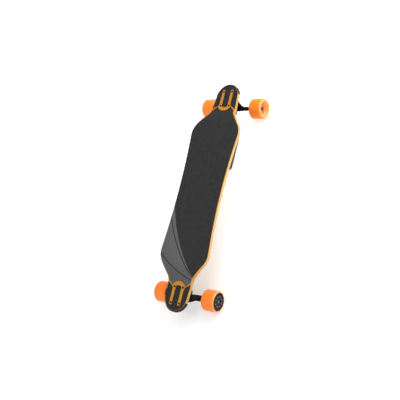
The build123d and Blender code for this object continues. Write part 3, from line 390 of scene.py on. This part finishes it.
def urethane(name, x, color, edge_color, rim_highlight_color, highlight_from, rough):
    """Cast urethane: soft and translucent, moulding rings on the tread, and a painted highlight that
    lightens the rim and the dish.
    """
    shade = Shade(name, color, rough, specular=0.45)
    radius = shade.radius(x, AXLE_Z)
    along = shade.axes()
    cloud = shade.noise(55, 4, 0.6)
    tread = shade.span(radius, TREAD_FROM, TREAD_TO)
    rings = shade.math("SINE", shade.math("MULTIPLY", along[1], 2 * math.pi / MOULD_PITCH))
    fine = shade.noise(1300, 3, 0.6)
    body = shade.mix(shade.span(cloud, 0.35, 0.75, 0, 0.45), color, edge_color)
    outboard = shade.math("SUBTRACT", shade.math("ABSOLUTE", along[1]), TRACK_HALF)
    dish = shade.math("MULTIPLY", shade.span(radius, DISH_FROM, DISH_TO),
                      shade.span(outboard, DISH_DEEP, DISH_SHALLOW, 0, 0.6))
    # painted highlight: the light rim colour mixed in towards the outer face and in the dish
    painted_highlight = shade.math("MAXIMUM", shade.span(outboard, highlight_from, RIM_HIGHLIGHT_TO, 0, 0.7), dish)
    shade.set("Base Color", shade.mix(painted_highlight, body, rim_highlight_color))
    shade.set("Roughness", shade.span(tread, 0, 1, rough, rough + 0.14))
    shade.set("Subsurface Weight", 0.22).set("Subsurface Scale", 0.004)
    shade.set("Subsurface Radius", (1.0, 0.35, 0.12))
    relief = shade.math("ADD", shade.math("MULTIPLY", rings, shade.math("MULTIPLY", tread, 0.35)), fine)
    shade.bump(relief, 0.00003)
    return shade.material


front_urethane = urethane("urethane_front", AXLE_X, srgb(252, 131, 24), srgb(255, 149, 44),
                          srgb(255, 194, 112), highlight_from=0.0225, rough=0.34)
rear_urethane = urethane("urethane_rear", -AXLE_X, srgb(250, 126, 22), srgb(255, 143, 38),
                         srgb(255, 190, 104), highlight_from=0.0215, rough=0.36)
paint(front_urethane, "front_left_tyre", "front_right_tyre")
paint(rear_urethane, "rear_left_sleeve", "rear_right_sleeve")
core = moulded("wheel_core", srgb(246, 116, 24), srgb(255, 140, 48), 0.42, 900, 0.00003)
paint(core, "front_left_core", "front_right_core")


def bearing_look(name, x, shield_radii, shield_color, shield_metallic):
    """Ground steel races with a shield between them, of metal or black rubber."""
    shade = Shade(name, srgb(190, 192, 194), 0.24, 1.0)
    radius = shade.radius(x, AXLE_Z)
    shield = shade.math("MULTIPLY", shade.math("GREATER_THAN", radius, shield_radii[0]),
                        shade.math("LESS_THAN", radius, shield_radii[1]))
    marks = shade.noise(900, 3, 0.6)
    steel = shade.mix(marks, srgb(200, 201, 203), srgb(172, 174, 176))
    shade.set("Base Color", shade.mix(shield, steel, shield_color))
    shade.set("Metallic", shade.span(shield, 0, 1, 1, shield_metallic))
    shade.set("Roughness", shade.span(shield, 0, 1, 0.22, 0.5))
    shade.bump(marks, 0.00001)
    return shade.material


front_bearing = bearing_look("front_bearing", AXLE_X, FRONT_SHIELD, srgb(222, 212, 200), 1)
rear_bearing = bearing_look("rear_bearing", -AXLE_X, REAR_SHIELD, srgb(24, 24, 25), 0)
for side in ("left", "right"):
    paint(front_bearing, f"front_{side}_bearings")
    paint(rear_bearing, f"rear_{side}_bearings")


# ---------------------------------------------------------------- inside the cases and motors
lamination = Shade("laminations", srgb(96, 99, 104), 0.4, 1.0)
sheets = lamination.math("SINE", lamination.math("MULTIPLY", lamination.axes()[1],
                                                 2 * math.pi / LAMINATION_PITCH))
lamination.set("Base Color", lamination.mix(lamination.span(sheets, -1, 1),
                                            srgb(70, 73, 78), srgb(120, 124, 130)))
lamination.bump(sheets, 0.00005)
paint(lamination.material, "stators")

copper = Shade("enamelled_copper", srgb(196, 104, 48), 0.3, 0.9)
strands = copper.noise(900, 2, 0.5, copper.stretched((1, 0.12, 1)))
copper.set("Base Color", copper.mix(strands, srgb(150, 70, 28), srgb(222, 128, 64)))
copper.bump(strands, 0.0002)
paint(copper.material, "motor_windings")

cell = Shade("cell_sleeve", srgb(36, 96, 150), 0.3)
wrap = cell.noise(160, 3, 0.5, cell.stretched((0.3, 1, 1)))
cell.set("Base Color", cell.mix(wrap, srgb(28, 84, 138), srgb(52, 116, 168)))
cell.bump(wrap, 0.00005)
paint(cell.material, "battery_cells")

board = Shade("circuit_board", srgb(18, 74, 40), 0.4)
tracks = board.cells(260, feature="DISTANCE_TO_EDGE")
board.set("Base Color", board.mix(board.span(tracks, 0.02, 0.08), srgb(48, 120, 66), srgb(14, 62, 34)))
board.bump(board.span(tracks, 0.02, 0.08, 1, 0), 0.00004)
paint(board.material, "bms_board", "esc_board")

sleeve = Shade("capacitor_sleeve", srgb(30, 30, 40), 0.35)
stripe = sleeve.noise(120, 2, 0.5)
sleeve.set("Base Color", sleeve.mix(stripe, srgb(24, 24, 34), srgb(48, 50, 64)))
sleeve.bump(stripe, 0.00003)
paint(sleeve.material, "esc_capacitors")

wire = Shade("silicone_wire", srgb(150, 22, 18), 0.48)
red_side = wire.math("GREATER_THAN", wire.axes()[1], 0.0)
ribs = wire.noise(600, 2, 0.5, wire.stretched((0.2, 1, 1)))
red = wire.mix(ribs, srgb(132, 16, 14), srgb(170, 30, 24))
wire.set("Base Color", wire.mix(red_side, srgb(24, 24, 25), red))
wire.bump(ribs, 0.00004)
paint(wire.material, "power_wires")


# ---------------------------------------------------------------- pieces made here
TURN_STEPS = 72
# The copies of the cast pieces: size of a remesh cell, in metres, and rounds of smoothing.
VOXEL, SMOOTH_ROUNDS = 0.0009, 9


def mesh_object(name, verts, faces, material):
    """A smooth-shaded piece with one material, not yet on any body."""
    mesh = bpy.data.meshes.new(name)
    mesh.from_pydata([tuple(v) for v in verts], [], faces)
    mesh.validate()
    for polygon in mesh.polygons:
        polygon.use_smooth = True
    piece = bpy.data.objects.new(name, mesh)
    bpy.context.scene.collection.objects.link(piece)
    mesh.materials.append(material)
    return piece


def lathed(name, origin, axis, profile, material):
    """Closed ring of revolution: (distance along axis, radius) points about a line."""
    axis = Vector(axis).normalized()
    side = axis.orthogonal().normalized()
    other = axis.cross(side)
    verts, faces = [], []
    for i in range(TURN_STEPS):
        turn = 2 * math.pi * i / TURN_STEPS
        out = side * math.cos(turn) + other * math.sin(turn)
        verts += [Vector(origin) + axis * u + out * r for u, r in profile]
    n = len(profile)
    for i in range(TURN_STEPS):
        a, b = i * n, (i + 1) % TURN_STEPS * n
        for k in range(n):
            faces.append((a + k, a + (k + 1) % n, b + (k + 1) % n, b + k))
    piece = mesh_object(name, verts, faces, material)
    bm = bmesh.new()
    bm.from_mesh(piece.data)
    bmesh.ops.recalc_face_normals(bm, faces=bm.faces)
    bm.to_mesh(piece.data)
    bm.free()
    return piece


def cast_copy(node, name, material):
    """A cast piece with softened edges and fillets in its corners, in place of a sharp-edged CAD node."""
    piece = nodes[node].copy()
    piece.data = nodes[node].data.copy()
    piece.name = piece.data.name = name
    for key in ("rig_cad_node", "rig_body"):  # the copy is no CAD node
        if key in piece:
            del piece[key]
    piece.parent = None
    bpy.context.scene.collection.objects.link(piece)
    piece.data.materials.clear()
    piece.data.materials.append(material)
    weld = piece.modifiers.new("weld", "WELD")
    weld.merge_threshold = 0.00001
    remesh = piece.modifiers.new("remesh", "REMESH")
    remesh.mode, remesh.voxel_size, remesh.use_smooth_shade = "VOXEL", VOXEL, True
    smooth = piece.modifiers.new("smooth", "SMOOTH")
    smooth.factor, smooth.iterations = 0.5, SMOOTH_ROUNDS
    depsgraph = bpy.context.evaluated_depsgraph_get()
    done = bpy.data.meshes.new_from_object(piece.evaluated_get(depsgraph))
    piece.modifiers.clear()
    piece.data = done
    for polygon in done.polygons:
        polygon.use_smooth = True
    return piece


cast = Shade("cast_black", srgb(7, 7, 8), 0.5, specular=0.12)
peel = cast.noise(900, 3, 0.55)
cloud = cast.noise(45, 4, 0.6)
cast.set("Base Color", cast.mix(cast.span(cloud, 0.4, 0.75), srgb(5, 5, 6), srgb(11, 11, 12)))
cast.set("Roughness", cast.span(cloud, 0.3, 0.7, 0.4, 0.56))
cast.bump(peel, 0.00007)
paint(cast.material, "front_hanger", "rear_hanger", "front_baseplate", "rear_baseplate")

bushing_look = Shade("bushing_urethane", srgb(236, 96, 22), 0.38, specular=0.45)
flecks = bushing_look.noise(300, 3, 0.6)
bushing_look.set("Base Color", bushing_look.mix(flecks, srgb(224, 84, 16), srgb(244, 112, 34)))
bushing_look.set("Subsurface Weight", 0.2).set("Subsurface Scale", 0.003)
bushing_look.bump(flecks, 0.00003)

# The hanger's ring and the two bushings round the kingpin, as in the CAD.
RAKE, RING_REACH, SEAT_TO_RING = 0.007, 0.028, 0.022
RING_T, WASHER_T, BUSHING_R = 0.009, 0.002, 0.0145
NECK_R, PIN_R, ROAD_T = 0.0088, 0.0049, 0.013
for end, sign in (("front", 1), ("rear", -1)):
    hanger = cast_copy(f"{end}_hanger", f"{end}_hanger_cast", cast.material)
    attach(hanger, f"{end}_hanger")
    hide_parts(f"{end}_hanger")
    base = cast_copy(f"{end}_baseplate", f"{end}_baseplate_cast", cast.material)
    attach(base, "deck")
    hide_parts(f"{end}_baseplate")

    steer = Vector((sign, 0, 1)).normalized()
    pin = Vector((sign, 0, -1)).normalized()
    ring = Vector((sign * AXLE_X, 0, AXLE_Z)) - pin * RAKE + steer * RING_REACH
    seat = ring - pin * SEAT_TO_RING
    near, far = SEAT_TO_RING - RING_T / 2, SEAT_TO_RING + RING_T / 2
    # Outlines as (distance from the seat, radius): the barrel above the ring and the cone below it.
    barrel = [(WASHER_T, PIN_R), (WASHER_T, 0.0128), (WASHER_T + 0.0009, 0.0138), (0.0052, 0.0143),
              (0.0086, BUSHING_R), (0.0122, 0.0144), (near - 0.0012, 0.0139), (near - 0.0002, 0.0128),
              (near - 0.0001, NECK_R), (near + 0.0038, NECK_R), (near + 0.0038, PIN_R)]
    cone = [(far - 0.0038, PIN_R), (far - 0.0038, NECK_R), (far + 0.0001, NECK_R), (far + 0.0002, 0.0130),
            (far + 0.0012, 0.0142), (far + 0.0030, 0.0141), (far + 0.0075, 0.0130), (far + 0.0115, 0.0120),
            (far + ROAD_T - 0.0003, 0.0110), (far + ROAD_T, 0.0100), (far + ROAD_T, PIN_R)]
    board_side = lathed(f"{end}_bushing_board", seat, pin, barrel, bushing_look.material)
    road_side = lathed(f"{end}_bushing_road", seat, pin, cone, bushing_look.material)
    for piece in (board_side, road_side):
        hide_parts(f"{end}_bushings")
    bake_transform(board_side)
    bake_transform(road_side)


# ---------------------------------------------------------------- stage, lights, camera
floor_look = Shade("pale_floor", (0.93, 0.93, 0.93, 1), 0.9, specular=0.05)
mottle = floor_look.noise(3, 2, 0.5)
floor_look.set("Base Color", floor_look.mix(mottle, (0.925, 0.925, 0.925, 1), (0.94, 0.94, 0.94, 1)))
floor_look.set("Emission Color", (1, 1, 1, 1))
# The floor glows, a painted light that washes out the board's shadows on it; it glows less round the tail,
# which paints a darker shadow patch where the board's shadow is darkest.
SHADOW_PATCH_X, GLOW_FROM, GLOW_TO, SHADOW_PATCH_GLOW, SHADOW_HIDING_GLOW = -0.5, 0.2, 0.6, 0.22, 0.5
across = floor_look.axes()
from_tail = floor_look.length(floor_look.math("SUBTRACT", across[0], SHADOW_PATCH_X), across[1])
# painted light and painted shadow: strong glow away from the tail, weak glow near it
floor_look.set("Emission Strength",
               floor_look.span(from_tail, GLOW_FROM, GLOW_TO, SHADOW_PATCH_GLOW, SHADOW_HIDING_GLOW))
FLOOR_HALF = 30
corners = [(x * FLOOR_HALF, y * FLOOR_HALF, 0) for x, y in ((-1, -1), (1, -1), (1, 1), (-1, 1))]
floor = mesh_object("floor", corners, [(0, 1, 2, 3)], floor_look.material)

scene = bpy.context.scene
scene.view_settings.view_transform = "Standard"
world = bpy.data.worlds.new("studio")
world.use_nodes = True
# White all round, a little dimmer towards the top.
sky = world.node_tree.nodes
direction = sky.new("ShaderNodeTexCoord").outputs["Generated"]
height = sky.new("ShaderNodeSeparateXYZ")
fade = sky.new("ShaderNodeMapRange")
SKY_FROM, SKY_TO, SKY_LOW, SKY_HIGH = 0.0, 0.3, 1.0, 0.6
for socket, value in zip(fade.inputs[1:5], (SKY_FROM, SKY_TO, SKY_LOW, SKY_HIGH)):
    socket.default_value = value
world.node_tree.links.new(direction, height.inputs[0])
world.node_tree.links.new(height.outputs[2], fade.inputs[0])
world.node_tree.links.new(fade.outputs[0], sky["Background"].inputs[1])
sky["Background"].inputs[0].default_value = (1, 1, 1, 1)
scene.world = world


def softbox(name, place, target, size, energy):
    """A round area light aimed at target, unseen by the camera; size in metres, energy in watts."""
    light = bpy.data.lights.new(name, "AREA")
    light.shape, light.size, light.energy = "DISK", size, energy
    lamp = bpy.data.objects.new(name, light)
    lamp.location = place
    lamp.rotation_euler = (Vector(target) - Vector(place)).to_track_quat("-Z", "Y").to_euler()
    lamp.visible_camera = False
    scene.collection.objects.link(lamp)


softbox("key", (3.0, -1.6, 2.2), (0, 0, 0.1), 4.2, 132)
softbox("top", (0.4, -0.3, 4.2), (0, 0, 0.1), 3.0, 26)
softbox("fill", (-2.4, 2.2, 2.2), (0, 0, 0.1), 2.4, 26)

camera_data = bpy.data.cameras.new("camera")
camera_data.sensor_width, camera_data.lens = 36.0, 62.42
camera = bpy.data.objects.new("camera", camera_data)
camera.location = (-0.6345, -1.6358, 2.3168)
camera.rotation_euler = [math.radians(a) for a in (21.920, 32.502, -73.484)]
scene.collection.objects.link(camera)
scene.camera = camera
